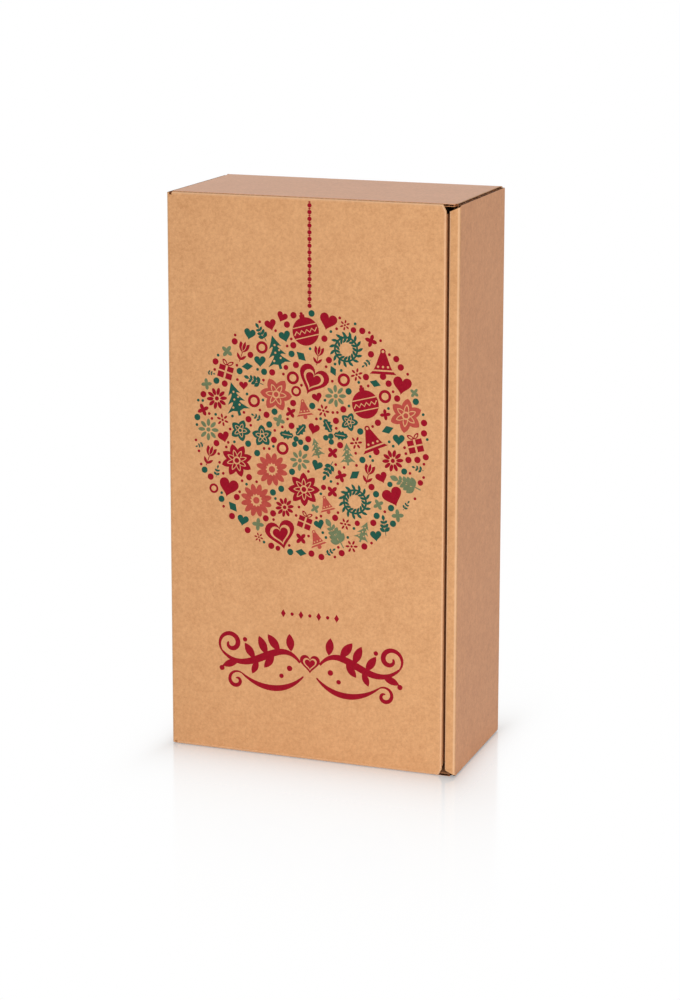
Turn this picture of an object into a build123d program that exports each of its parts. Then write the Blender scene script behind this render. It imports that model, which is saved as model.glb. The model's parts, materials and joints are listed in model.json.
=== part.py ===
"""Cardboard wine box for two bottles, standing on end, with a lid that opens like a book.

One die-cut sheet of fine-flute kraft board is folded into the tray and its lid, and a second
sheet is folded into the divider. Sizes are in millimetres. The origin is at the middle of the
footprint, +Z is up, the lid faces -Y and its hinge fold is on the left, at -X.
"""

import os
from math import atan2, cos, radians, sin

from build123d import *

# Outside of the closed box
box_width = 186.0
box_depth = 95.0
box_height = 350.0

# Board and its folds
board = 1.6
facing = 0.25
medium = 0.2
flute_pitch = 3.4
inner_fold = 0.3
liner = 0.4
fold_radius = board + inner_fold
knuckle_radius = fold_radius - liner
slip = 0.3

# Rolled closing wall on the right, a double wall with room for the ears inside it
ear_play = 1.8
rolled_wall = 3 * board + ear_play
strip_end = 1.5
strip_slant = 3.0
tab_width = 42.0
tab_spread = 170.0

# Side walls stop just short of the end walls' outer faces
wall_shy = 0.8

# Ears that close the corners of the tray
ear_length = 46.0
ear_inset = 1.5
ear_taper = 6.0

# Lid
slit = 1.8
corner_cut_width = 2.2
corner_cut_height = 4.0
nose_land = 0.1
lid_nose = board - nose_land
hinge_notch_width = 1.6
hinge_notch_height = 1.9
flap_lean = 5.0

# Flap that tucks in behind the rolled wall
tuck_depth = 34.0
tuck_inset = 6.0
tuck_taper = 8.0
tuck_corner = 10.0

# Flaps that lie inside the end walls
dust_depth = 40.0
dust_hinge_inset = 7.0
dust_hinge_taper = 42.0
dust_free_inset = 10.0
dust_free_taper = 12.0
dust_corner = 9.0
dust_crushed = 3.0

# Divider between the two bottles
foot_width = 36.0
divider_gap = 3.0
divider_headroom = 1.0
notch_room = 2.5
notch_corner = 5.0

# Places worked out from the sizes
left = -box_width / 2
right = box_width / 2
front = -box_depth / 2
back = box_depth / 2
top = box_height
middle = box_height / 2
hinge_x = left + fold_radius
hinge_y = front + fold_radius
strip_left = right - rolled_wall
lid_right = strip_left - slit
behind_lid = front + board + slip
flap_root_y = behind_lid + board / 2
end_wall_back = back - fold_radius
side_depth = box_depth - 2 * fold_radius

LOW = (Align.MIN, Align.MIN)
UP = (0, 0, 1)
parts = []


def upright(y):
    """Plane facing -Y at a given depth: its own x is X and its own y is Z."""
    return Plane.XZ.offset(-y)


def sideways(x):
    """Plane facing +X at a given width: its own x is Y and its own y is Z."""
    return Plane.YZ.offset(x)


def bend(axis_start, outer_side, along, length):
    """A quarter turn of board about a fold line. It lies between outer_side and the
    direction a quarter turn on from it."""
    with BuildSketch(Plane(origin=axis_start, x_dir=outer_side, z_dir=along)) as turn:
        Circle(fold_radius)
        Circle(inner_fold, mode=Mode.SUBTRACT)
        Rectangle(fold_radius, fold_radius, align=LOW, mode=Mode.INTERSECT)
    extrude(turn.sketch, amount=length)


# Channels of the fluted core: the medium runs in a zigzag from one facing to the other
core_height = board - 2 * facing
half_pitch = flute_pitch / 2
zigzag = atan2(core_height, half_pitch)
channel_reach = half_pitch - medium / 2 / sin(zigzag)
channel_tip = core_height / 2 - (core_height - medium / 2 / cos(zigzag))
channel = [(-channel_reach, core_height / 2), (0, channel_tip), (channel_reach, core_height / 2)]
facing_channel = [(-x, -y) for x, y in channel]


def fluted(start, across, along, width, length):
    """A rectangle of fluted board. It starts at the middle of one cut end, is width wide
    in the direction across, and its flutes run for length in the direction along."""
    count = int((width - facing) / flute_pitch)
    with BuildSketch(Plane(origin=start, x_dir=across, z_dir=along)) as section:
        Rectangle(width, board)
        with GridLocations(flute_pitch, 0, count, 1):
            Polygon(*channel, align=None, mode=Mode.SUBTRACT)
        with GridLocations(flute_pitch, 0, count - 1, 1):
            Polygon(*facing_channel, align=None, mode=Mode.SUBTRACT)
    extrude(section.sketch, amount=length)


def finish(piece, name):
    """Names a piece and keeps it for the list that is written out."""
    piece.part.label = name
    parts.append(piece.part)


# Back panel: the floor of the tray, with the four folds that lead into its walls
flat_width = box_width - 2 * fold_radius
flat_height = box_height - 2 * fold_radius
fold_y = back - fold_radius
with BuildPart() as back_panel:
    with BuildSketch(upright(back)):
        with Locations((0, middle)):
            Rectangle(flat_width, flat_height)
        with Locations((strip_left + board / 2, middle)):
            with GridLocations(0, tab_spread, 1, 2):
                Rectangle(board + 2 * slip, tab_width + 2 * slip, mode=Mode.SUBTRACT)
    extrude(amount=board)
    bend((-flat_width / 2, fold_y, fold_radius), (0, 1, 0), UP, flat_height)
    bend((flat_width / 2, fold_y, fold_radius), (1, 0, 0), UP, flat_height)
    bend((-flat_width / 2, fold_y, top - fold_radius), (0, 1, 0), (1, 0, 0), flat_width)
    bend((-flat_width / 2, fold_y, fold_radius), (0, 0, -1), (1, 0, 0), flat_width)
finish(back_panel, "back_panel")

# Hinge wall: the left side, which leaves room in front for the lid's knuckle
hinge_wall_front = hinge_y + fold_radius + slip
hinge_wall_middle = (hinge_wall_front + fold_y) / 2
wall_height = box_height - 2 * wall_shy
with BuildPart() as hinge_wall:
    wall_start = (left + board / 2, hinge_wall_middle, wall_shy)
    fluted(wall_start, (0, 1, 0), UP, fold_y - hinge_wall_front, wall_height)
finish(hinge_wall, "hinge_wall")

# Rolled closing wall: outer panel, roll strip and inner panel with tabs in the back panel
with BuildPart() as closing_wall_outer:
    fluted((right - board / 2, 0, wall_shy), (0, 1, 0), UP, side_depth, wall_height)
finish(closing_wall_outer, "closing_wall_outer")

inner_end = strip_end + strip_slant
with BuildPart() as closing_wall_strip:
    with BuildSketch(upright(front)):
        with Locations(((strip_left + right) / 2, middle)):
            Rectangle(rolled_wall - 2 * fold_radius, box_height)
    extrude(amount=-board)
    bend((strip_left + fold_radius, hinge_y, 0), (-1, 0, 0), UP, box_height)
    bend((right - fold_radius, hinge_y, 0), (0, -1, 0), UP, box_height)
    with BuildSketch(upright(front)):
        with BuildLine():
            Polyline(
                (strip_left, inner_end),
                (right, strip_end),
                (right, top - strip_end),
                (strip_left, top - inner_end),
                close=True,
            )
        make_face()
    extrude(amount=-fold_radius, mode=Mode.INTERSECT)
finish(closing_wall_strip, "closing_wall_strip")

inner_back = back - board
with BuildPart() as closing_wall_inner:
    inner_start = (strip_left + board / 2, (hinge_y + inner_back) / 2, inner_end)
    fluted(inner_start, (0, 1, 0), UP, inner_back - hinge_y, box_height - 2 * inner_end)
    with BuildSketch(sideways(strip_left)):
        with Locations((inner_back, middle)):
            with GridLocations(0, tab_spread, 1, 2):
                Rectangle(board - slip, tab_width, align=(Align.MIN, Align.CENTER))
    extrude(amount=board)
finish(closing_wall_inner, "closing_wall_inner")

# End walls: one at the top and one that the box stands on, each with its front edge
# behind the lid
end_half_width = box_width / 2 - board - fold_radius
with BuildPart() as end_wall_top:
    end_start = (0, behind_lid, top - board / 2)
    fluted(end_start, (1, 0, 0), (0, 1, 0), 2 * end_half_width, end_wall_back - behind_lid)
finish(end_wall_top, "end_wall_top")

with BuildPart() as end_wall_bottom:
    add(mirror(end_wall_top.part, about=Plane.XY.offset(middle)))
finish(end_wall_bottom, "end_wall_bottom")

# Ears: turned down from the ends of the end walls, against the insides of the side walls,
# and cut back in front as far as the hinge wall, where the open lid's knuckle turns
ear_front = hinge_wall_front
ear_back = end_wall_back - ear_inset
ear_top = top - fold_radius
ear_x = end_half_width + inner_fold
ear_width = ear_back - ear_front
with BuildPart() as ear_top_right:
    ear_start = (ear_x + board / 2, ear_front, ear_top - ear_length / 2)
    fluted(ear_start, UP, (0, 1, 0), ear_length, ear_width)
    with BuildSketch(sideways(ear_x)):
        with BuildLine():
            Polyline(
                (ear_front, ear_top),
                (ear_front + ear_taper, ear_top - ear_length),
                (ear_back - ear_taper, ear_top - ear_length),
                (ear_back, ear_top),
                close=True,
            )
        make_face()
    extrude(amount=board, mode=Mode.INTERSECT)
    bend((end_half_width, ear_front, ear_top), UP, (0, 1, 0), ear_width)
finish(ear_top_right, "ear_top_right")

with BuildPart() as ear_top_left:
    add(mirror(ear_top_right.part, about=Plane.YZ))
finish(ear_top_left, "ear_top_left")

with BuildPart() as ear_bottom_right:
    add(mirror(ear_top_right.part, about=Plane.XY.offset(middle)))
finish(ear_bottom_right, "ear_bottom_right")

with BuildPart() as ear_bottom_left:
    add(mirror(ear_top_left.part, about=Plane.XY.offset(middle)))
finish(ear_bottom_left, "ear_bottom_left")

# Lid: a flat panel with rounded outer edges, cut corners on the right, and a knuckle on
# the left that turns in the corner of the tray
lid_height = box_height - 2 * slip
with BuildPart() as lid_panel:
    with BuildSketch(upright(front)):
        with BuildLine():
            Polyline(
                (hinge_x, slip),
                (lid_right - corner_cut_width, slip),
                (lid_right, slip + corner_cut_height),
                (lid_right, top - slip - corner_cut_height),
                (lid_right - corner_cut_width, top - slip),
                (hinge_x, top - slip),
                close=True,
            )
        make_face()
    extrude(amount=-board)
    outer_edges = lid_panel.edges().group_by(Axis.Y)[0]
    fillet(outer_edges.sort_by(Axis.X)[1:], radius=lid_nose)
    with BuildSketch(upright(front)):
        with Locations((hinge_x, slip), (hinge_x, top - slip)):
            Rectangle(2 * hinge_notch_width, 2 * hinge_notch_height)
    extrude(amount=-board, mode=Mode.SUBTRACT)
    with BuildSketch(Plane.XY.offset(slip + hinge_notch_height)):
        with Locations((hinge_x, hinge_y)):
            Circle(knuckle_radius)
    extrude(amount=lid_height - 2 * hinge_notch_height)
finish(lid_panel, "lid_panel")

# Tuck flap: hangs behind the lid's right edge and leans inwards, clear of the rolled wall
lean_sin = sin(radians(flap_lean))
lean_cos = cos(radians(flap_lean))
tuck_root_x = lid_right - board / 2
tuck_plane = Plane(
    (tuck_root_x, flap_root_y, 0),
    x_dir=(-lean_sin, lean_cos, 0),
    z_dir=(lean_cos, lean_sin, 0),
)
with BuildPart() as tuck_flap:
    tuck_middle = tuck_plane.from_local_coords((tuck_depth / 2, 0, 0))
    fluted(tuck_middle, tuck_plane.x_dir, UP, tuck_depth, box_height)
    with BuildSketch(tuck_plane):
        with BuildLine():
            Polyline(
                (0, tuck_inset),
                (tuck_depth, tuck_inset + tuck_taper),
                (tuck_depth, top - tuck_inset - tuck_taper),
                (0, top - tuck_inset),
                close=True,
            )
        make_face()
        fillet(vertices().group_by(Axis.X)[-1], radius=tuck_corner)
    extrude(amount=board / 2, both=True, mode=Mode.INTERSECT)
    with BuildSketch(Plane.XY.offset(tuck_inset)):
        with Locations((tuck_root_x, flap_root_y)):
            Circle(board / 2)
    extrude(amount=box_height - 2 * tuck_inset)
finish(tuck_flap, "tuck_flap")

# Dust flaps: hang behind the lid's top and bottom edges and lie just inside the end walls,
# cut back towards the hinge so that they swing out freely
dust_left = hinge_x + dust_hinge_inset
dust_right = lid_right - dust_free_inset
dust_root_z = top - board - slip - board / 2
dust_plane = Plane(
    (0, flap_root_y, dust_root_z), x_dir=(1, 0, 0), z_dir=(0, lean_sin, lean_cos)
)
with BuildPart() as dust_flap_top:
    dust_middle = (dust_left + dust_right) / 2
    dust_start = dust_plane.from_local_coords((dust_middle, dust_crushed, 0))
    dust_width = dust_right - dust_left
    fluted(dust_start, (1, 0, 0), dust_plane.y_dir, dust_width, dust_depth - dust_crushed)
    with BuildSketch(dust_plane) as dust_outline:
        with BuildLine():
            Polyline(
                (dust_left, 0),
                (dust_right, 0),
                (dust_right - dust_free_taper, dust_depth),
                (dust_left + dust_hinge_taper, dust_depth),
                close=True,
            )
        make_face()
        fillet(vertices().group_by(Axis.Y)[-1], radius=dust_corner)
    extrude(amount=board / 2, both=True, mode=Mode.INTERSECT)
    with BuildSketch(dust_plane):
        add(dust_outline.sketch_local)
        with Locations((dust_middle, 0)):
            crushed_size = (dust_width, dust_crushed)
            Rectangle(*crushed_size, align=(Align.CENTER, Align.MIN), mode=Mode.INTERSECT)
    extrude(amount=board / 2, both=True)
    with BuildSketch(sideways(dust_left)):
        with Locations((flap_root_y, dust_root_z)):
            Circle(board / 2)
    extrude(amount=dust_right - dust_left)
finish(dust_flap_top, "dust_flap_top")

with BuildPart() as dust_flap_bottom:
    add(mirror(dust_flap_top.part, about=Plane.XY.offset(middle)))
finish(dust_flap_bottom, "dust_flap_bottom")

# Divider: two webs glued back to back, a rounded ridge in front and a foot on each side
# against the back panel, notched at the ends where the dust flaps swing in
divider_x = (left + board + strip_left) / 2
divider_foot_back = back - board
web_back = divider_foot_back - fold_radius
ridge_y = behind_lid + divider_gap + board
divider_base = fold_radius
divider_height = top - board - divider_headroom - divider_base
notch_back = flap_root_y + dust_depth + notch_room
notch_top = dust_root_z - board / 2 - dust_depth * lean_sin - notch_room
notch_bottom = top - notch_top
ridge_height = notch_top - notch_bottom
with BuildPart() as divider_web_left:
    with BuildSketch(sideways(divider_x - board)):
        with Locations((ridge_y, notch_bottom)):
            Rectangle(notch_back - ridge_y, ridge_height, align=LOW)
        with Locations((notch_back, divider_base)):
            Rectangle(web_back - notch_back, divider_height, align=LOW)
        inner_corners = vertices().group_by(Axis.X)[1].sort_by(Axis.Y)[1:-1]
        fillet(inner_corners, radius=notch_corner)
    extrude(amount=board)
    bend((divider_x - fold_radius, web_back, divider_base), (1, 0, 0), UP, divider_height)
finish(divider_web_left, "divider_web_left")

with BuildPart() as divider_web_right:
    add(mirror(divider_web_left.part, about=Plane.YZ.offset(divider_x)))
finish(divider_web_right, "divider_web_right")

with BuildPart() as divider_ridge:
    with BuildSketch(Plane.XY.offset(notch_bottom)):
        with Locations((divider_x, ridge_y)):
            Circle(board)
            Rectangle(2 * board, board, align=(Align.CENTER, Align.MIN), mode=Mode.SUBTRACT)
    extrude(amount=ridge_height)
finish(divider_ridge, "divider_ridge")

foot_middle = divider_x - fold_radius - foot_width / 2
with BuildPart() as divider_foot_left:
    foot_start = (foot_middle, divider_foot_back - board / 2, divider_base)
    fluted(foot_start, (1, 0, 0), UP, foot_width, divider_height)
finish(divider_foot_left, "divider_foot_left")

with BuildPart() as divider_foot_right:
    add(mirror(divider_foot_left.part, about=Plane.YZ.offset(divider_x)))
finish(divider_foot_right, "divider_foot_right")

os.makedirs("parts", exist_ok=True)
for part in parts:
    export_step(part, f"parts/{part.label}.step")
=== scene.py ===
"""Looks of the cardboard wine box: kraft paper, print, folds, floor, light and camera.

Lengths are in metres in the part's own frame: +Z up, the lid faces -Y, its hinge fold is at
-X. The print is drawn in millimetres, as (x, z) on the lid's front, and the sizes in the
materials are in millimetres too.
"""

import json
from math import cos, hypot, pi, radians, sin, tau
from random import Random

import bmesh
import bpy
from mathutils import Matrix, Vector
from mathutils.geometry import delaunay_2d_cdt
from mathutils.kdtree import KDTree


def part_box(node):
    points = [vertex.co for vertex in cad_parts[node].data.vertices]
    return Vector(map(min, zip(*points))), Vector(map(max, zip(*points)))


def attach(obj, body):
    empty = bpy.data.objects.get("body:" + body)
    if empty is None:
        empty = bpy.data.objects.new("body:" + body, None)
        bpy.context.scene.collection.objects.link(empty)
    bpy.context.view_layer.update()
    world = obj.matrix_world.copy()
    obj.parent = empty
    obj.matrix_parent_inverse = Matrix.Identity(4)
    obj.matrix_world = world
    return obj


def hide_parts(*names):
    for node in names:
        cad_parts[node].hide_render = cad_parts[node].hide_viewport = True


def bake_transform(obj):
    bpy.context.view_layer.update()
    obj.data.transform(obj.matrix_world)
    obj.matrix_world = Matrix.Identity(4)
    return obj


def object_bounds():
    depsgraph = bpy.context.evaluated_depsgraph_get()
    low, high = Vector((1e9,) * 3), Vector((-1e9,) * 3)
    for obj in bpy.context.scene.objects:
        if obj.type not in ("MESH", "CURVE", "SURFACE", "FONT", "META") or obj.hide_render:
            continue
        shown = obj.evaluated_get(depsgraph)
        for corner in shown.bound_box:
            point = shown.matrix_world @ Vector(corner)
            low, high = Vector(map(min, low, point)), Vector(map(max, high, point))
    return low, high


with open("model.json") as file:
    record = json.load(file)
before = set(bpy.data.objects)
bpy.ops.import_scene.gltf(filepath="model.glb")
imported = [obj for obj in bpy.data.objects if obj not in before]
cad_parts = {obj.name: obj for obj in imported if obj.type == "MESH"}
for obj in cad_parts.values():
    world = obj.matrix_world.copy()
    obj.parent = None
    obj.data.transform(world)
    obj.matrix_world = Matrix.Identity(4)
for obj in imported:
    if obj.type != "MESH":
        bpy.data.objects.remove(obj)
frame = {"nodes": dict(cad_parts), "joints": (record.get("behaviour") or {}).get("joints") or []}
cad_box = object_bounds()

mm = 0.001

# Camera, at the photograph's viewing angle, with the frame in the photograph's pixels
view_azimuth = radians(19.82)
view_elevation = radians(10.66)
view_roll = radians(0.07)
camera_place = (0.5367, -1.4839, 0.5467)
frame_width = 680
frame_height = 1000
focal_px = 2601
optical_centre = (340, 350)
sensor = 36.0

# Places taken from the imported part
lid_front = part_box("lid_panel")[0].y
wall_low, wall_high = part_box("hinge_wall")
hinge = next(j for j in frame["joints"] if j["name"] == "lid_hinge")
hinge_x, hinge_y = hinge["pos_m"][0], hinge["pos_m"][1]

# Paper and folds
liner = 0.2 * mm
fold_shy = 0.05 * mm
fold_gap = 0.15 * mm
edge_drop = 0.2 * mm
edge_drop_width = 7.0 * mm
edge_drop_rows = 7
score_depth = 0.10 * mm
score_width = 0.6 * mm
relief_depth = 0.03 * mm
soft_angle = radians(35)

# Board in the materials, in millimetres: the flutes' pitch, and the paper facings at cut edges,
# between which the open flutes get painted shade
flute_pitch = 3.4
top_facing = 0.35
bottom_facing = 0.1
side_facing = 0.15

# How smooth and how even the paper looks
paper_roughness = 0.36
cut_roughness = 0.95
paper_gloss = 0.08
smooth_gloss = 0.2
front_ripples = 0.25

# Colours, as sRGB
kraft_light = (230, 174, 123)
kraft_dark = (196, 139, 91)
speck_colour = (140, 88, 50)
# Folds: paler stretched paper with a painted highlight
fold_stretch_and_highlight = (243, 198, 156)
# Cut edges: the cut paper's own colour, and painted shade in the open flutes and in grooves
cut_colour = (156, 98, 60)
painted_cut_shade = (58, 30, 15)
divider_light = (214, 160, 114)
divider_dark = (194, 141, 96)
crimson = (152, 3, 35)
green = (10, 82, 68)
crimson_tint = (178, 54, 56)
green_tint = (88, 116, 84)

# Painted light: tints of the side and end walls, as shares of red, green and blue, that stand in
# for the different light that falls on each
side_light_tint = (0.99, 0.934, 0.914)
end_light_tint = (1.045, 0.988, 0.974)

along_x, along_y, along_z = (1, 0, 0), (0, 1, 0), (0, 0, 1)
along_walls = (1, 1, 0)


def linear(colour):
    """sRGB numbers of 0 to 255 as a linear colour with alpha."""
    shares = [c / 255 for c in colour]
    return [c / 12.92 if c <= 0.04045 else ((c + 0.055) / 1.055) ** 2.4 for c in shares] + [1]


class Tree:
    """A material with short calls for its nodes."""

    def __init__(self, name):
        self.material = bpy.data.materials.new(name)
        self.material.use_nodes = True
        self.nodes = self.material.node_tree.nodes
        self.links = self.material.node_tree.links
        self.shader = self.nodes["Principled BSDF"]

    def feed(self, socket, value):
        """Links a node's output to a socket, or sets the socket to a plain value."""
        if isinstance(value, bpy.types.NodeSocket):
            self.links.new(value, socket)
        else:
            socket.default_value = value

    def place(self, stretch=(1, 1, 1)):
        """The point on the piece in millimetres, stretched."""
        point = self.nodes.new("ShaderNodeTexCoord").outputs["Object"]
        scale = self.nodes.new("ShaderNodeVectorMath")
        scale.operation = "MULTIPLY"
        self.feed(scale.inputs[0], point)
        scale.inputs[1].default_value = [s / mm for s in stretch]
        return scale.outputs[0]

    def noise(self, size, detail=2.0, roughness=0.5, stretch=(1, 1, 1)):
        """Noise with patches of about the given size in millimetres."""
        node = self.nodes.new("ShaderNodeTexNoise")
        self.feed(node.inputs["Vector"], self.place(stretch))
        node.inputs["Scale"].default_value = 1 / size
        node.inputs["Detail"].default_value = detail
        node.inputs["Roughness"].default_value = roughness
        return node.outputs["Fac"]

    def math(self, operation, a, b=0.0, clamp=False):
        node = self.nodes.new("ShaderNodeMath")
        node.operation = operation
        node.use_clamp = clamp
        self.feed(node.inputs[0], a)
        self.feed(node.inputs[1], b)
        return node.outputs[0]

    def spread(self, value, low, high, to_low=0.0, to_high=1.0):
        """Maps low..high to to_low..to_high, and holds the ends."""
        node = self.nodes.new("ShaderNodeMapRange")
        self.feed(node.inputs["Value"], value)
        for name, number in zip(("From Min", "From Max", "To Min", "To Max"), (low, high, to_low, to_high)):
            node.inputs[name].default_value = number
        return node.outputs["Result"]

    def mix(self, share, a, b, blend="MIX"):
        node = self.nodes.new("ShaderNodeMix")
        node.data_type = "RGBA"
        node.blend_type = blend
        self.feed(node.inputs[0], share)
        self.feed(node.inputs[6], a)
        self.feed(node.inputs[7], b)
        return node.outputs[2]

    def specks(self, cell, size, share):
        """Small round flecks: one place in every cell, of which only a share show."""
        node = self.nodes.new("ShaderNodeTexVoronoi")
        self.feed(node.inputs["Vector"], self.place())
        node.inputs["Scale"].default_value = 1 / cell
        near = self.spread(node.outputs["Distance"], size / cell * 0.5, size / cell, 1.0, 0.0)
        chosen = self.math("GREATER_THAN", self.channel(node.outputs["Color"]), 1 - share)
        return self.math("MULTIPLY", near, chosen)

    def channel(self, colour):
        node = self.nodes.new("ShaderNodeSeparateColor")
        self.feed(node.inputs[0], colour)
        return node.outputs[0]

    def along(self, vector, axis):
        """How far a vector reaches along an axis."""
        dot = self.nodes.new("ShaderNodeVectorMath")
        dot.operation = "DOT_PRODUCT"
        self.feed(dot.inputs[0], vector)
        dot.inputs[1].default_value = axis
        return dot.outputs["Value"]

    def normal(self):
        return self.nodes.new("ShaderNodeTexCoord").outputs["Normal"]

    def ripple(self, across, pitch):
        """0..1 waves of the given pitch in millimetres, counted along across."""
        turn = self.math("MULTIPLY", self.along(self.place(), across), tau / pitch)
        return self.math("MULTIPLY_ADD", self.math("SINE", turn), 0.5)

    def core(self, axis, low, high, facing):
        """1 between the facings of a flat board that reaches from low to high along axis."""
        inside = self.math("COMPARE", self.along(self.place(), axis), (low + high) / 2)
        inside.node.inputs[2].default_value = (high - low) / 2 - facing
        return inside

    def ends(self, axis):
        """1 on faces that look along axis, either way: the cut ends of a folded board."""
        reach = self.math("ABSOLUTE", self.along(self.normal(), axis))
        return self.math("GREATER_THAN", reach, 0.6)

    def folds(self):
        """1 where the paper bends round a fold, 0 on the flat."""
        parts = self.nodes.new("ShaderNodeSeparateXYZ")
        self.feed(parts.inputs[0], self.normal())
        x, y, z = (self.math("ABSOLUTE", part) for part in parts.outputs)
        return self.spread(self.math("MAXIMUM", self.math("MAXIMUM", x, y), z), 0.82, 0.97, 1.0, 0.0)

    def bump(self, height, distance, strength):
        node = self.nodes.new("ShaderNodeBump")
        self.feed(node.inputs["Height"], height)
        node.inputs["Distance"].default_value = distance
        node.inputs["Strength"].default_value = strength
        self.feed(self.shader.inputs["Normal"], node.outputs["Normal"])


def paper(tree, across, ripples):
    """The shade, fibres, flute waves and relief of kraft paper on fluted board. Shade is 0 for
    dark and 1 for light."""
    layers = (
        (tree.noise(34, 2), 0.3, 0.7, 0.12),
        (tree.noise(6.5, 2), 0.3, 0.7, 0.18),
        (tree.noise(2.0, 2, 0.6), 0.3, 0.7, 0.40),
        (tree.noise(0.85, 2, 0.6), 0.3, 0.7, 0.30),
    )
    grain = layers[3][0]
    shade = 0.0
    for noise, low, high, weight in layers:
        shade = tree.math("ADD", tree.math("MULTIPLY", tree.spread(noise, low, high), weight), shade)
    long_fibres = tree.noise(0.5, 2, 0.5, (1, 1, 0.07))
    cross_fibres = tree.noise(0.5, 2, 0.5, (0.09, 0.09, 1))
    long_fibres = tree.spread(long_fibres, 0.68, 0.76)
    cross_fibres = tree.spread(cross_fibres, 0.68, 0.76)
    fibres = tree.math("MAXIMUM", long_fibres, cross_fibres)
    waves = tree.ripple(across, flute_pitch)
    waves = tree.math("MULTIPLY", waves, tree.spread(tree.noise(22, 2), 0.35, 0.65, 0.2, 1.0))
    relief = tree.math("ADD", tree.math("MULTIPLY", grain, 0.5), tree.math("MULTIPLY", fibres, 0.35))
    relief = tree.math("ADD", relief, tree.math("MULTIPLY", waves, 0.9 * ripples))
    return shade, fibres, waves, relief


def kraft_colour(tree, light, dark, across, ripples):
    """Kraft paper's colour and the relief that goes with it."""
    shade, fibres, waves, relief = paper(tree, across, ripples)
    shade = tree.math("SUBTRACT", shade, tree.math("MULTIPLY", waves, 0.08 * ripples))
    colour = tree.mix(shade, linear(dark), linear(light))
    # Folds: paler where the paper stretches, with a painted highlight along the bend
    colour = tree.mix(tree.math("MULTIPLY", tree.folds(), 0.6), colour, linear(fold_stretch_and_highlight))
    pale = [c * 1.12 for c in linear(light)[:3]] + [1]
    colour = tree.mix(tree.math("MULTIPLY", fibres, 0.35), colour, pale)
    flecks = tree.specks(5.0, 0.16, 0.35)
    colour = tree.mix(tree.math("MULTIPLY", flecks, 0.6), colour, linear(speck_colour))
    return colour, shade, relief


def kraft(name, across, cut, light=kraft_light, dark=kraft_dark, ripples=1.0, gloss=paper_gloss):
    """Unprinted kraft board. across is the direction that counts the flutes, cut marks the
    cut edges, where the open flutes get painted shade, and ripples is how much they show on the flat."""
    tree = Tree(name)
    colour, shade, relief = kraft_colour(tree, light, dark, across, ripples)
    roughness = paper_roughness
    if cut:
        cut_and_shade_mask = cut(tree)
        # Cut edges: patches of the cut paper's own colour among dashes of painted shade in the open flutes
        cut_patches = tree.spread(tree.noise(3.0, 1), 0.5, 0.62, 0.1, 1.0)
        cut_paper_share = tree.math("MULTIPLY", tree.ripple(across, flute_pitch), cut_patches)
        cut_paper_and_shade = tree.mix(cut_paper_share, linear(painted_cut_shade), linear(cut_colour))
        colour = tree.mix(cut_and_shade_mask, colour, cut_paper_and_shade)
        roughness = tree.spread(cut_and_shade_mask, 0, 1, paper_roughness, cut_roughness)
    tree.feed(tree.shader.inputs["Base Color"], colour)
    tree.feed(tree.shader.inputs["Roughness"], roughness)
    tree.shader.inputs["Specular IOR Level"].default_value = gloss
    tree.bump(relief, relief_depth, 0.6)
    return tree.material


def ink(name, colour, cover):
    """Printing ink on kraft board: it lets a little of the paper's shade and fibres through."""
    tree = Tree(name)
    paper_colour, shade, relief = kraft_colour(
        tree, kraft_light, kraft_dark, along_walls, front_ripples
    )
    dark = [c * 0.8 for c in linear(colour)[:3]] + [1]
    light = [c * 1.14 for c in linear(colour)[:3]] + [1]
    inked = tree.mix(shade, dark, light)
    thin = tree.spread(tree.noise(0.35, 2, 0.6), 0.42, 0.66, 1 - cover, 1.0 - cover * 0.97)
    tree.feed(tree.shader.inputs["Base Color"], tree.mix(thin, inked, paper_colour))
    tree.shader.inputs["Roughness"].default_value = 0.7
    tree.shader.inputs["Specular IOR Level"].default_value = 0.05
    tree.bump(relief, relief_depth, 0.5)
    return tree.material


def slab(node, across, facing, light_tint, gloss=paper_gloss):
    """Kraft board for a flat piece, with facings of the given thickness at its cut edges."""
    low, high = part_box(node)
    sides = [b - a for a, b in zip(low, high)]
    thin = sides.index(min(sides))
    axis = [float(i == thin) for i in range(3)]
    # Painted light: the paper's colours tinted for the light that falls on this side of the box
    light = [c * t for c, t in zip(kraft_light, light_tint)]
    dark = [c * t for c, t in zip(kraft_dark, light_tint)]

    def cut(tree):
        return tree.core(axis, low[thin] / mm, high[thin] / mm, facing)

    return kraft("kraft_" + node, across, cut, light, dark, gloss=gloss)


def upright_ends(tree):
    return tree.ends(along_z)


def flap_ends(tree):
    return tree.ends(along_x)


def ear_edges_and_fold_shade(tree):
    """The ears' front and back cut edges, and their folds, which get painted shade beside the end walls."""
    return tree.math("MAXIMUM", tree.folds(), tree.ends(along_y))


kraft_upright = kraft("kraft_upright", along_walls, upright_ends)
kraft_back = kraft("kraft_back", along_x, None)
kraft_front = kraft("kraft_front", along_x, None, ripples=front_ripples, gloss=smooth_gloss)
kraft_dust = kraft("kraft_dust", along_x, flap_ends)
kraft_ears = kraft("kraft_ears", along_y, ear_edges_and_fold_shade)
kraft_divider = kraft("kraft_divider", along_walls, upright_ends, divider_light, divider_dark)
inks = {
    "crimson": ink("ink_crimson", crimson, 0.995),
    "green": ink("ink_green", green, 0.99),
    "crimson_tint": ink("ink_crimson_tint", crimson_tint, 0.9),
    "green_tint": ink("ink_green_tint", green_tint, 0.9),
}


def material_for(node):
    """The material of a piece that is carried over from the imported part."""
    if node.startswith("divider"):
        return kraft_divider
    if node.startswith("end_wall"):
        facing = top_facing if "top" in node else bottom_facing
        return slab(node, along_x, facing, end_light_tint, smooth_gloss)
    if node.startswith("dust_flap"):
        return kraft_dust
    if node.startswith("ear"):
        return kraft_ears
    if node in ("hinge_wall", "closing_wall_outer", "closing_wall_inner"):
        return slab(node, along_y, side_facing, side_light_tint)
    if node == "back_panel":
        return kraft_back
    return kraft_upright


for node, piece in frame["nodes"].items():
    piece.data.materials.clear()
    piece.data.materials.append(material_for(node))


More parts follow.
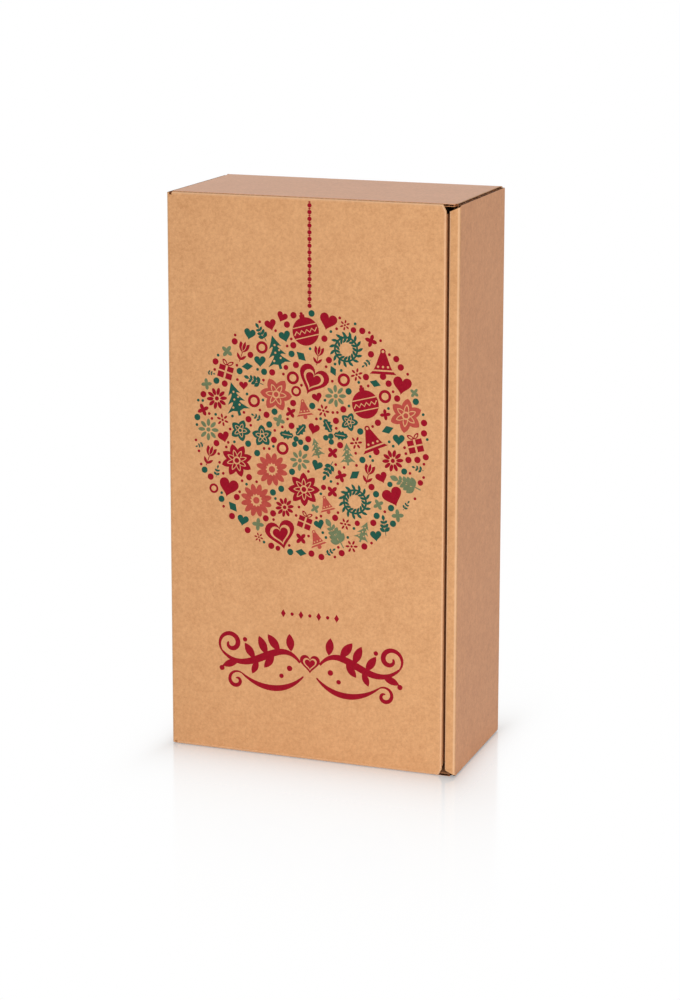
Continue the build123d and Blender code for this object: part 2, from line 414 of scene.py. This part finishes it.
# Outlines for the print, as lists of (x, z) on a field that reaches from -1 to 1
def round_dot(x=0.0, z=0.0, radius=1.0, count=22):
    return [(x + radius * cos(tau * i / count), z + radius * sin(tau * i / count)) for i in range(count)]


def petal(x, z, angle, length, width, blunt=0.8, count=9):
    """A leaf that starts at (x, z) and points along angle, in degrees."""
    turn = radians(angle)
    steps = [i / count for i in range(count + 1)]
    edge = [(length * s, width / 2 * sin(pi * s) ** blunt) for s in steps]
    edge += [(u, -v) for u, v in edge[-2:0:-1]]
    return [(x + u * cos(turn) - v * sin(turn), z + u * sin(turn) + v * cos(turn)) for u, v in edge]


def stroke(line, widths):
    """A pen stroke along line, with a width at each point."""
    left, right = [], []
    for i, (x, z) in enumerate(line):
        ahead = line[min(i + 1, len(line) - 1)]
        behind = line[max(i - 1, 0)]
        du, dv = ahead[0] - behind[0], ahead[1] - behind[1]
        size = hypot(du, dv)
        nu, nv = -dv / size * widths[i] / 2, du / size * widths[i] / 2
        left.append((x + nu, z + nv))
        right.append((x - nu, z - nv))
    return left + right[::-1]


def even(width, count):
    return [width] * count


def ring(radius, inner, count=30):
    return [(1, round_dot(0, 0, radius, count)), (0, round_dot(0, 0, inner, count))]


# Motifs: lists of (inked, outline), where a later outline lies over an earlier one, and
# inked 0 leaves the paper bare
def berry():
    return [(1, round_dot())]


def small_ring():
    return ring(1.0, 0.55, 20)


def heart():
    line = []
    for i in range(36):
        t = tau * i / 36
        x = 16 * sin(t) ** 3
        z = 13 * cos(t) - 5 * cos(2 * t) - 2 * cos(3 * t) - cos(4 * t)
        line.append((x / 17, (z + 2.5) / 17))
    return [(1, line)]


def stitched_heart():
    outer = heart()[0][1]
    inner = [(x * 0.68, z * 0.68) for x, z in outer]
    core = [(x * 0.52, z * 0.52) for x, z in outer]
    return [(1, outer), (0, inner), (1, core)]


def blossom(petals, width):
    """A flower of broad pointed petals with a smaller flower and a berry on top."""
    shapes = []
    for reach, wide, inked in ((1.0, width, 1), (0.66, width * 0.74, 0), (0.58, width * 0.58, 1)):
        for k in range(petals):
            angle = 90 + 360 * k / petals
            shapes.append((inked, petal(0, 0, angle, reach, wide * reach, 0.7)))
    shapes.append((0, round_dot(0, 0, 0.24, 18)))
    shapes.append((1, round_dot(0, 0, 0.15, 16)))
    return shapes


def daisy(petals=8):
    shapes = []
    for k in range(petals):
        turn = tau * k / petals + pi / petals
        angle = 360 * k / petals + 180 / petals
        shapes.append((1, petal(0.3 * cos(turn), 0.3 * sin(turn), angle, 0.7, 0.34, 0.5)))
    shapes.append((1, round_dot(0, 0, 0.2, 16)))
    return shapes


def sprig(pairs=4):
    """A twig with leaves in pairs."""
    stem = [(0, -1.0), (0.03, -0.5), (0.0, 0.0), (-0.02, 0.7)]
    shapes = [(1, stroke(stem, even(0.07, len(stem))))]
    for k in range(pairs):
        z = -0.62 + 1.15 * k / pairs
        reach = 0.62 - 0.09 * k
        for side in (-1, 1):
            shapes.append((1, petal(0, z, 90 - side * 52, reach, reach * 0.6)))
    shapes.append((1, petal(0, 0.42, 90, 0.56, 0.32)))
    return shapes


def fir(tiers=3):
    shapes = [(1, [(-0.09, -1.0), (0.09, -1.0), (0.09, -0.7), (-0.09, -0.7)])]
    for k in range(tiers):
        low = -0.74 + 0.5 * k
        half = 0.74 - 0.17 * k
        high = low + 0.86 - 0.06 * k
        skirt = [(-half, low), (-half / 2, low + 0.09), (0, low - 0.02)]
        skirt += [(half / 2, low + 0.09), (half, low)]
        shapes.append((1, skirt + [(half * 0.42, low + 0.4), (0, high), (-half * 0.42, low + 0.4)]))
    for x, z in ((-0.28, -0.46), (0.16, -0.38), (-0.08, -0.02), (0.2, 0.08), (0.0, 0.42)):
        shapes.append((0, round_dot(x, z, 0.065, 12)))
    return shapes


def bell():
    side = []
    for i in range(13):
        s = i / 12
        side.append((0.16 + 0.44 * s ** 0.9 + 0.22 * s ** 6, 0.72 - 1.22 * s))
    body = [(-x, z) for x, z in side] + side[::-1]
    shapes = [(1, round_dot(0, 0.8, 0.17, 16)), (0, round_dot(0, 0.8, 0.08, 12)), (1, body)]
    shapes.append((1, round_dot(0, -0.62, 0.2, 16)))
    band = [(-0.86, -0.34), (0.86, -0.34), (0.86, -0.25), (-0.86, -0.25)]
    shapes.append((0, band))
    for x in (-0.3, 0.0, 0.3):
        shapes.append((0, round_dot(x, -0.08, 0.07, 12)))
    return shapes


def holly():
    shapes = []
    for side in (-1, 1):
        leaf = []
        for edge in (1, -1):
            run = []
            for i in range(9):
                s = i / 8
                spike = 1.0 if i % 2 else 0.62
                run.append((0.1 + 0.88 * s, edge * 0.3 * sin(pi * s) ** 0.7 * spike))
            leaf += run if edge == 1 else run[-2:0:-1]
        tilt = radians(28)
        turned = [(u * cos(tilt) - v * sin(tilt), u * sin(tilt) + v * cos(tilt)) for u, v in leaf]
        shapes.append((1, [(side * u, v + 0.05) for u, v in turned]))
        vein = [(0.2 * cos(tilt), 0.2 * sin(tilt) + 0.05), (0.8 * cos(tilt), 0.8 * sin(tilt) + 0.05)]
        shapes.append((0, stroke([(side * u, v) for u, v in vein], even(0.035, 2))))
    for x, z in ((0, -0.1), (-0.2, -0.36), (0.2, -0.36)):
        shapes.append((1, round_dot(x, z, 0.17, 16)))
    return shapes


def bauble():
    shapes = [(1, round_dot(0, -0.12, 0.82, 34))]
    shapes.append((1, [(-0.16, 0.64), (0.16, 0.64), (0.16, 0.86), (-0.16, 0.86)]))
    shapes.append((1, round_dot(0, 0.92, 0.1, 12)))
    zigzag = [(-0.72 + 0.16 * i, -0.12 + (0.1 if i % 2 else -0.1)) for i in range(10)]
    shapes.append((0, stroke(zigzag, even(0.07, 10))))
    for z, half in ((0.2, 0.74), (-0.44, 0.74)):
        shapes.append((0, [(-half, z - 0.03), (half, z - 0.03), (half, z + 0.03), (-half, z + 0.03)]))
    return shapes


def wreath(leaves=15):
    shapes = ring(0.74, 0.62, 40)
    for k in range(leaves):
        turn = tau * k / leaves
        x, z = 0.68 * cos(turn), 0.68 * sin(turn)
        angle = 360 * k / leaves
        shapes.append((1, petal(x, z, angle + 40, 0.42, 0.17)))
        shapes.append((1, petal(x, z, angle + 150, 0.38, 0.16)))
    for turn in (-1.95, -1.57, -1.19):
        shapes.append((1, round_dot(0.7 * cos(turn), 0.7 * sin(turn), 0.13, 14)))
    return shapes


def tulip():
    shapes = [(1, stroke([(0, -1), (0, -0.5), (0, 0)], even(0.08, 3)))]
    for side in (-1, 1):
        shapes.append((1, petal(0, -0.85, 90 - side * 40, 0.72, 0.26)))
        shapes.append((1, petal(side * 0.05, -0.1, 90 - side * 24, 0.98, 0.42)))
    shapes.append((0, petal(0, -0.06, 90, 1.02, 0.42)))
    shapes.append((1, petal(0, 0.0, 90, 0.9, 0.3)))
    return shapes


def quatrefoil():
    return [(1, petal(0, 0, 45 + 90 * k, 1.0, 0.62, 0.55)) for k in range(4)]


def diamond():
    return [(1, [(0, -1), (0.62, 0), (0, 1), (-0.62, 0)])]


def gift():
    shapes = [(1, [(-0.7, -0.85), (0.7, -0.85), (0.7, 0.3), (-0.7, 0.3)])]
    for x0, x1, z0, z1 in ((-0.09, 0.09, -0.85, 0.3), (-0.7, 0.7, -0.32, -0.18)):
        shapes.append((0, [(x0, z0), (x1, z0), (x1, z1), (x0, z1)]))
    for side in (-1, 1):
        shapes.append((1, petal(0, 0.34, 90 - side * 50, 0.72, 0.36, 0.6)))
        shapes.append((0, petal(side * 0.1, 0.42, 90 - side * 50, 0.42, 0.15, 0.6)))
    return shapes


large_motifs = [
    (lambda: blossom(8, 0.52), "crimson"),
    (wreath, "green"),
    (sprig, "green_tint"),
    (bauble, "crimson"),
    (lambda: blossom(6, 0.62), "crimson_tint"),
    (holly, "green"),
    (stitched_heart, "crimson"),
    (fir, "green"),
    (lambda: daisy(12), "crimson_tint"),
    (bell, "crimson"),
]
medium_motifs = [
    (tulip, "crimson"),
    (lambda: sprig(3), "green"),
    (heart, "crimson"),
    (daisy, "green_tint"),
    (gift, "crimson"),
    (lambda: blossom(5, 0.7), "green"),
    (bell, "crimson_tint"),
    (lambda: daisy(10), "crimson"),
    (fir, "green_tint"),
]
small_motifs = [
    (quatrefoil, "crimson"),
    (heart, "green"),
    (lambda: daisy(6), "crimson"),
    (diamond, "green"),
    (lambda: sprig(2), "green"),
    (small_ring, "crimson"),
    (quatrefoil, "green_tint"),
    (heart, "crimson"),
]
dots = [(berry, "crimson"), (berry, "green"), (berry, "crimson")]

# The round figure: its field is filled with motifs from large to small
figure_x = -0.4
figure_z = 205.4
figure_radius = 76.0
figure_tall = 1.02
figure_seed = 11
motif_gap = 0.9

# Each round of motifs: which, how many at most, largest and smallest size, and tries for each
sizes = (
    (large_motifs, 20, 10.4, 9.2, 500),
    (medium_motifs, 30, 6.8, 5.2, 500),
    (small_motifs, 70, 4.0, 2.9, 400),
    (dots, 84, 2.0, 1.2, 300),
    (dots, 110, 0.9, 0.55, 200),
)


def inside(outline, x, z):
    """Whether a point lies inside an outline."""
    crossed = False
    for (ax, az), (bx, bz) in zip(outline, outline[1:] + outline[:1]):
        if (az > z) != (bz > z) and x < ax + (z - az) / (bz - az) * (bx - ax):
            crossed = not crossed
    return crossed


def fill_figure(shapes):
    """Stamps motifs into the round field so that none touches another."""
    chance = Random(figure_seed)
    upright = (fir, bell, bauble, heart, stitched_heart, tulip, gift)
    drawn = []
    for motifs, count, largest, smallest, tries in sizes:
        spots = [(x, z) for outline in drawn for x, z in dense(outline)]
        tree = KDTree(len(spots))
        for i, (x, z) in enumerate(spots):
            tree.insert((x, z, 0), i)
        tree.balance()
        fresh = []
        for k in range(count):
            best = None
            for _ in range(tries):
                reach = figure_radius * chance.random() ** 0.5
                turn = tau * chance.random()
                x, z = reach * cos(turn), reach * sin(turn)
                space = figure_radius - reach
                for u, v, r in fresh:
                    space = min(space, hypot(x - u, z - v) - r - motif_gap)
                if space < smallest:
                    continue
                if spots:
                    space = min(space, tree.find((x, z, 0))[2] - motif_gap)
                if space < smallest or any(inside(outline, x, z) for outline in drawn):
                    continue
                if best is None or min(space, largest) > best[2]:
                    best = (x, z, min(space, largest))
                    if space >= largest:
                        break
            if best is None:
                break
            x, z, size = best
            fresh.append(best)
            motif, tone = motifs[k % len(motifs)]
            angle = radians(chance.uniform(-24, 24)) if motif in upright else tau * chance.random()
            first = len(shapes)
            stamp(shapes, motif(), x, z, size, angle, tone)
            drawn += [outline for tone, outline in shapes[first:] if tone != "bare"]
    for i, (tone, outline) in enumerate(shapes):
        shapes[i] = (tone, [(figure_x + x, figure_z + z * figure_tall) for x, z in outline])


def dense(outline):
    """The points of an outline, with more between them where they lie far apart."""
    for (ax, az), (bx, bz) in zip(outline, outline[1:] + outline[:1]):
        count = max(1, int(hypot(bx - ax, bz - az) / 0.5))
        for i in range(count):
            yield ax + (bx - ax) * i / count, az + (bz - az) * i / count


def stamp(shapes, motif, x, z, size, angle, tone):
    """Adds a motif to the list of (tone, outline)."""
    c, s = cos(angle) * size, sin(angle) * size
    for inked, outline in motif:
        moved = [(x + u * c - v * s, z + u * s + v * c) for u, v in outline]
        shapes.append((tone if inked else "bare", moved))


def mirrored(outline):
    return [(-x, z) for x, z in outline]


def scroll(x, z, radius, turns, start, way, count=40):
    """A spiral that winds in to its middle at (x, z)."""
    line = []
    for i in range(count + 1):
        s = i / count
        angle = start + way * tau * turns * s
        line.append((x + radius * (1 - 0.82 * s) * cos(angle), z + radius * (1 - 0.82 * s) * sin(angle)))
    return line


def bow(points, count=30):
    """A smooth line through a four-point curve."""
    (ax, az), (bx, bz), (cx, cz), (dx, dz) = points
    line = []
    for i in range(count + 1):
        s = i / count
        w = ((1 - s) ** 3, 3 * s * (1 - s) ** 2, 3 * s * s * (1 - s), s ** 3)
        line.append((
            w[0] * ax + w[1] * bx + w[2] * cx + w[3] * dx,
            w[0] * az + w[1] * bz + w[2] * cz + w[3] * dz,
        ))
    return line


def swelling(count, thin, thick):
    return [thin + (thick - thin) * sin(pi * i / (count - 1)) for i in range(count)]


def add_string(shapes):
    """Beads and small diamonds in turn, from the lid's top edge to the round figure."""
    string_top = 348.0
    string_bottom = figure_z + figure_radius * figure_tall + 0.6
    pairs = 16
    pitch = (string_top - string_bottom) / pairs
    for k in range(pairs):
        z = string_top - pitch * (k + 0.5)
        stamp(shapes, diamond(), figure_x, z + pitch * 0.36, 1.0, pi / 2, "crimson")
        stamp(shapes, berry(), figure_x, z - pitch * 0.14, 1.4, 0.0, "crimson")


def add_flourish(shapes):
    """Scrolls, leaves and berries, the same on both sides, with a heart between them."""
    flourish_z = 63.0
    flourish_size = 1.07
    curves = [
        stroke(bow([(6, -1), (20, 17), (36, -16), (54, 1)]), swelling(31, 1.4, 4.4)),
        stroke(scroll(48.8, 6.5, 7.6, 1.2, radians(-47), 1), swelling(41, 1.0, 3.0)),
        stroke(bow([(4, -9), (14, -20), (29, -21), (42, -11)]), swelling(31, 0.9, 3.6)),
        stroke(scroll(45.4, -15.4, 5.6, 1.15, radians(128), -1), swelling(41, 0.8, 2.4)),
        petal(11.5, 5.2, 84, 10.5, 5.0),
        petal(18.5, 4.6, 52, 12, 5.2),
        petal(26.5, 1.6, 66, 12, 5.0),
        petal(34, -1.6, 56, 11, 4.8),
        petal(22, 1.6, -52, 10, 4.4),
        petal(32, -2.4, -66, 9, 4.0),
        petal(44, -3.6, -22, 11, 4.4),
        round_dot(12.5, -5.0, 1.7, 18),
        round_dot(17.5, -10.0, 1.4, 18),
        round_dot(54.5, -9.0, 1.6, 18),
        round_dot(40.0, 9.5, 1.4, 18),
    ]
    for line in curves + [mirrored(line) for line in curves]:
        line = [(figure_x + x * flourish_size, flourish_z + z * flourish_size) for x, z in line]
        shapes.append(("crimson", line))
    stamp(shapes, stitched_heart(), figure_x, flourish_z - 1.5, 7.0, 0.0, "crimson")
    for k in range(-3, 4):
        motif = diamond() if k % 2 else berry()
        size = 2.6 if k % 2 else 1.1
        stamp(shapes, motif, figure_x + 5.8 * k, flourish_z + 29.5, size, 0.0, "crimson")


def print_shapes():
    """All the print on the lid, as (tone, outline) in millimetres."""
    shapes = []
    fill_figure(shapes)
    add_string(shapes)
    add_flourish(shapes)
    return shapes


def area(outline):
    return sum(a[0] * b[1] - b[0] * a[1] for a, b in zip(outline, outline[1:] + outline[:1])) / 2


# Meshes
def shade_smooth(shape):
    """Smooth shading, with the edges that turn sharply left hard."""
    for edge in shape.edges:
        edge.smooth = edge.calc_face_angle(0.0) < soft_angle
    for face in shape.faces:
        face.smooth = True


def new_piece(name, shape, materials):
    """An object in the scene made from a bmesh, which is freed."""
    mesh = bpy.data.meshes.new(name)
    shape.to_mesh(mesh)
    shape.free()
    for material in materials:
        mesh.materials.append(material)
    piece = bpy.data.objects.new(name, mesh)
    bpy.context.scene.collection.objects.link(piece)
    return piece


# Lid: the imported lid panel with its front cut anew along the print, so that paper and ink
# are one closed surface
def moved_in(path, amount):
    """An open line of points moved to its left by an amount, with its corners kept sharp."""
    sides = []
    for (ax, az), (bx, bz) in zip(path, path[1:]):
        size = hypot(bx - ax, bz - az)
        sides.append(((az - bz) / size, (bx - ax) / size))
    sides = [sides[0]] + sides + [sides[-1]]
    moved = []
    for (x, z), (au, av), (bu, bv) in zip(path, sides, sides[1:]):
        share = amount / (1 + au * bu + av * bv)
        moved.append((x + (au + bu) * share, z + (av + bv) * share))
    return moved


def distance_to(path, x, z):
    """How far a point lies from an open line of points."""
    best = 1e9
    for (ax, az), (bx, bz) in zip(path, path[1:]):
        run_x, run_z = bx - ax, bz - az
        share = ((x - ax) * run_x + (z - az) * run_z) / (run_x ** 2 + run_z ** 2)
        share = min(max(share, 0), 1)
        best = min(best, hypot(x - ax - share * run_x, z - az - share * run_z))
    return best


def front_dent(score, x, z):
    """How far the lid's front lies behind its flat plane, in metres, at (x, z) in mm."""
    near = max(0.0, 1 - (x * mm - hinge_x) / edge_drop_width)
    off = distance_to(score, x, z) * mm / score_width
    return edge_drop * near * near + (score_depth * (0.5 + 0.5 * cos(pi * off)) if off < 1 else 0)


def front_rim(lid_mesh):
    """The flat front's faces, and the corners round it from the lowest left one."""
    def is_front(face):
        return face.normal.y < -0.9999 and abs(face.calc_center_median().y - lid_front) < 1e-6

    faces = [f for f in lid_mesh.faces if is_front(f)]
    inside = set(faces)
    rim = [l for f in faces for l in f.loops if l.link_loop_radial_next.face not in inside]
    following = {l.vert: l.link_loop_next.vert for l in rim}
    loop = [min(following, key=lambda v: (round(v.co.z, 6), v.co.x))]
    while following[loop[-1]] is not loop[0]:
        loop.append(following[loop[-1]])
    return faces, loop


def guide_lines(score):
    """Lines in millimetres that give the score and the rounded left edge enough points."""
    lines = []
    for share in (0.33, 0.66, 1):
        clear = share * score_width / mm
        inner = moved_in(score, clear)
        inner[0] = (inner[0][0] + clear, inner[0][1])
        inner[-1] = (inner[-1][0] + clear, inner[-1][1])
        lines.append(inner)
    low, high = score[0][1] + 2 * score_width / mm, score[-1][1] - 2 * score_width / mm
    for k in range(1, edge_drop_rows + 1):
        x = hinge_x / mm + (k / edge_drop_rows) ** 1.5 * edge_drop_width / mm
        lines.append([(x, low), (x, high)])
    return lines


def cut_front(lid_mesh):
    """Replaces the flat front of the lid by triangles that follow the print."""
    front_faces, loop = front_rim(lid_mesh)
    bmesh.ops.delete(lid_mesh, geom=front_faces, context="FACES_ONLY")
    corners = [(v.co.x / mm, v.co.z / mm) for v in loop]
    score = corners[:corners.index(max(corners, key=lambda c: (round(c[1], 3), -c[0]))) + 1]

    points = [Vector(c) for c in corners]
    faces = [list(range(len(corners)))]
    edges = []
    tones = ["bare"]
    for tone, outline in print_shapes():
        if area(outline) < 0:
            outline = outline[::-1]
        faces.append(list(range(len(points), len(points) + len(outline))))
        points += [Vector(p) for p in outline]
        tones.append(tone)
    for line in guide_lines(score):
        first = len(points)
        points += [Vector(p) for p in line]
        edges += [(first + i, first + i + 1) for i in range(len(line) - 1)]

    places, _, triangles, _, _, sources = delaunay_2d_cdt(points, edges, faces, 1, 1e-5, True)
    known = {(round(x, 3), round(z, 3)): v for (x, z), v in zip(corners, loop)}
    verts = []
    for x, z in places:
        rim_vert = known.get((round(x, 3), round(z, 3)))
        verts.append(rim_vert or lid_mesh.verts.new((x * mm, lid_front, z * mm)))
    slots = ["bare"] + list(inks)
    for triangle, origin in zip(triangles, sources):
        if not origin:
            continue
        face = lid_mesh.faces.new([verts[i] for i in triangle])
        face.material_index = slots.index(tones[max(origin)])
    for vert, (x, z) in zip(verts, places):
        vert.co.y = lid_front + front_dent(score, x, z)
    loose = [e for e in lid_mesh.edges if not e.link_faces]
    bmesh.ops.delete(lid_mesh, geom=loose, context="EDGES")
    loose = [v for v in lid_mesh.verts if not v.link_faces]
    bmesh.ops.delete(lid_mesh, geom=loose, context="VERTS")


def make_lid():
    lid_mesh = bmesh.new()
    lid_mesh.from_mesh(frame["nodes"]["lid_panel"].data)
    bmesh.ops.remove_doubles(lid_mesh, verts=lid_mesh.verts, dist=1e-7)
    cut_front(lid_mesh)
    lid_mesh.normal_update()
    shade_smooth(lid_mesh)
    lid = new_piece("printed_lid", lid_mesh, [kraft_front] + list(inks.values()))
    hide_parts("lid_panel")
    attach(lid, "lid")


make_lid()


def ribbon(name, outer, inner, ends, steps, material):
    """A closed upright strip of paper. outer and inner are matching lines of its
    cross-section, as (x, y), and it reaches from one height in ends to the other."""
    strip = bmesh.new()
    rows = []
    for k in range(steps + 1):
        z = ends[0] + (ends[1] - ends[0]) * k / steps
        rows.append([strip.verts.new((x, y, z)) for x, y in outer + inner[::-1]])
    count = len(rows[0])
    for a, b in zip(rows, rows[1:]):
        for i in range(count):
            j = (i + 1) % count
            strip.faces.new((a[i], a[j], b[j], b[i]))
    for row in (rows[0], rows[-1]):
        for i in range(len(outer) - 1):
            strip.faces.new((row[i], row[i + 1], row[count - 2 - i], row[count - 1 - i]))
    bmesh.ops.recalc_face_normals(strip, faces=strip.faces)
    shade_smooth(strip)
    return new_piece(name, strip, [material])


# Hinge fold: the outer paper that runs unbroken from the hinge wall round to the lid
def hinge_fold():
    straight = [(wall_low.x, y) for y in (wall_low.y, (wall_low.y + hinge_y) / 2)]
    end_y = lid_front + edge_drop
    reach_x, reach_y = hinge_x - wall_low.x, hinge_y - end_y
    turn_steps = 14
    turn = [i / turn_steps * pi / 2 for i in range(turn_steps + 1)]
    outer = straight + [(hinge_x - reach_x * cos(t), hinge_y - reach_y * sin(t)) for t in turn]
    inner = [(x + liner, y) for x, y in straight]
    inner += [
        (hinge_x - (reach_x - liner) * cos(t), hinge_y - (reach_y - liner) * sin(t)) for t in turn
    ]
    ends = (wall_low.z + fold_shy, wall_high.z - fold_shy)
    fold = ribbon("hinge_fold", outer, inner, ends, 24, kraft_upright)
    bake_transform(fold)


hinge_fold()


# Corner paper: a scrap of the lid's outer paper left standing behind the notch at the foot
# of the hinge fold
def corner_paper():
    steps = ((-1.3, 1.2), (-0.9, 0.4), (0.0, 0.0), (0.8, 0.0), (1.5, 0.0))
    outer = [(hinge_x + u * mm, hinge_y - fold_gap + v * mm) for u, v in steps]
    inner = [(x, y + liner / 2) for x, y in outer]
    ends = (0.15 * mm, 2.4 * mm)
    scrap = ribbon("corner_paper", outer, inner, ends, 3, kraft_upright)
    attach(scrap, "tray")


corner_paper()


# Floor: white, with a faint mirror image of the box and a soft shadow where it stands. The
# reaches are in millimetres, across and in depth
floor_half = 3.0
floor_cells = 24
floor_colour = (0.88, 0.85, 0.82, 1)
shadow_share = 0.66
shadow_reach = (7.0, 20.0)
mirror_share = 0.22
mirror_reach = (60.0, 60.0)
mirror_roughness = 0.12


def floor_material():
    tree = Tree("floor_white")
    tree.shader.inputs["Base Color"].default_value = floor_colour
    tree.shader.inputs["Roughness"].default_value = 0.5
    tree.shader.inputs["Specular IOR Level"].default_value = 0.1

    def vector(operation, a, b=None):
        node = tree.nodes.new("ShaderNodeVectorMath")
        node.operation = operation
        tree.feed(node.inputs[0], a)
        if b is not None:
            node.inputs[1].default_value = b
        return node

    footprint = (cad_box[1][0] / mm, cad_box[1][1] / mm, 0)
    beyond = vector("ABSOLUTE", tree.place()).outputs[0]
    beyond = vector("SUBTRACT", beyond, footprint).outputs[0]
    beyond = vector("MAXIMUM", beyond, (0, 0, 0)).outputs[0]

    def fading(start, reach):
        """start at the box, fading away from it."""
        share = vector("MULTIPLY", beyond, (1 / reach[0], 1 / reach[1], 0)).outputs[0]
        away = vector("LENGTH", share).outputs["Value"]
        power = tree.math("EXPONENT", tree.math("MULTIPLY", away, -1.0))
        return tree.math("MULTIPLY", power, start)

    path = tree.nodes.new("ShaderNodeLightPath")
    seen = tree.math("MAXIMUM", path.outputs["Is Camera Ray"], path.outputs["Is Glossy Ray"])
    seen = tree.math("MAXIMUM", seen, path.outputs["Is Transmission Ray"])

    def blend(share, a, b):
        node = tree.nodes.new("ShaderNodeMixShader")
        for socket, value in zip(node.inputs, (share, a, b)):
            tree.feed(socket, value)
        return node.outputs[0]

    glow = tree.nodes.new("ShaderNodeEmission")
    glow.inputs["Color"].default_value = (1, 1, 1, 1)
    mirror = tree.nodes.new("ShaderNodeBsdfGlossy")
    mirror.inputs["Color"].default_value = (1, 1, 1, 1)
    mirror.inputs["Roughness"].default_value = mirror_roughness
    white = tree.math("SUBTRACT", 1.0, fading(shadow_share, shadow_reach))
    lit = blend(tree.math("MULTIPLY", white, seen), tree.shader.outputs[0], glow.outputs[0])
    mirrored_share = tree.math("MULTIPLY", fading(mirror_share, mirror_reach), seen)
    surface = blend(mirrored_share, lit, mirror.outputs[0])
    tree.feed(tree.nodes["Material Output"].inputs["Surface"], surface)
    return tree.material


def make_floor():
    grid = bmesh.new()
    bmesh.ops.create_grid(grid, x_segments=floor_cells, y_segments=floor_cells, size=floor_half)
    new_piece("floor", grid, [floor_material()])


make_floor()


# World: white where it is seen, and dimmer where it lights the box
sky_strength = 0.52


def make_world():
    world = bpy.data.worlds.new("studio")
    bpy.context.scene.world = world
    world.use_nodes = True
    nodes, links = world.node_tree.nodes, world.node_tree.links
    soft = nodes["Background"]
    soft.inputs["Color"].default_value = (1, 1, 1, 1)
    soft.inputs["Strength"].default_value = sky_strength
    white = nodes.new("ShaderNodeBackground")
    white.inputs["Color"].default_value = (1, 1, 1, 1)
    white.inputs["Strength"].default_value = 1.0
    path = nodes.new("ShaderNodeLightPath")
    seen = path.outputs["Is Camera Ray"]
    for other in ("Is Glossy Ray", "Is Transmission Ray"):
        either = nodes.new("ShaderNodeMath")
        either.operation = "MAXIMUM"
        links.new(seen, either.inputs[0])
        links.new(path.outputs[other], either.inputs[1])
        seen = either.outputs[0]
    blend = nodes.new("ShaderNodeMixShader")
    links.new(seen, blend.inputs[0])
    links.new(soft.outputs[0], blend.inputs[1])
    links.new(white.outputs[0], blend.inputs[2])
    links.new(blend.outputs[0], nodes["World Output"].inputs["Surface"])


make_world()


# Lamps: a large one from the right, and two small ones that even out the front
def soft_light(name, place, target, size, power, colour=(1, 1, 1)):
    data = bpy.data.lights.new(name, "AREA")
    data.shape = "RECTANGLE"
    data.size, data.size_y = size
    data.energy = power
    data.color = colour
    lamp = bpy.data.objects.new(name, data)
    bpy.context.scene.collection.objects.link(lamp)
    lamp.location = place
    lamp.rotation_mode = "QUATERNION"
    lamp.rotation_quaternion = (Vector(place) - Vector(target)).to_track_quat("Z", "Y")
    return lamp


soft_light("key", (2.1, -4.2, 1.75), (0, 0, 0.17), (3.0, 3.0), 89)
low_fill = soft_light("low_fill", (0.16, -0.42, 0.05), (0.03, 0, 0.04), (0.5, 0.06), 0.42, (0.75, 0.86, 1.0))
high_fill = soft_light("high_fill", (0.16, -0.36, 0.38), (0.08, 0, 0.34), (0.2, 0.1), 0.1, (0.8, 0.9, 1.0))
for fill in (low_fill, high_fill):
    fill.visible_glossy = False
    fill.visible_camera = False


def make_camera():
    data = bpy.data.cameras.new("camera")
    data.sensor_width = sensor
    data.lens = focal_px / frame_height * sensor
    data.shift_x = (frame_width / 2 - optical_centre[0]) / frame_height
    data.shift_y = (optical_centre[1] - frame_height / 2) / frame_height
    data.clip_start, data.clip_end = 0.05, 20
    camera = bpy.data.objects.new("camera", data)
    bpy.context.scene.collection.objects.link(camera)
    az, el = view_azimuth, view_elevation
    forward = Vector((-sin(az) * cos(el), cos(az) * cos(el), -sin(el)))
    right = Vector((cos(az), sin(az), 0))
    up = right.cross(forward)
    c, s = cos(view_roll), sin(view_roll)
    right, up = right * c + up * s, up * c - right * s
    turn = Matrix((right, up, -forward)).transposed()
    camera.matrix_world = Matrix.Translation(camera_place) @ turn.to_4x4()
    bpy.context.scene.camera = camera


make_camera()

bpy.context.scene.view_settings.view_transform = "Standard"
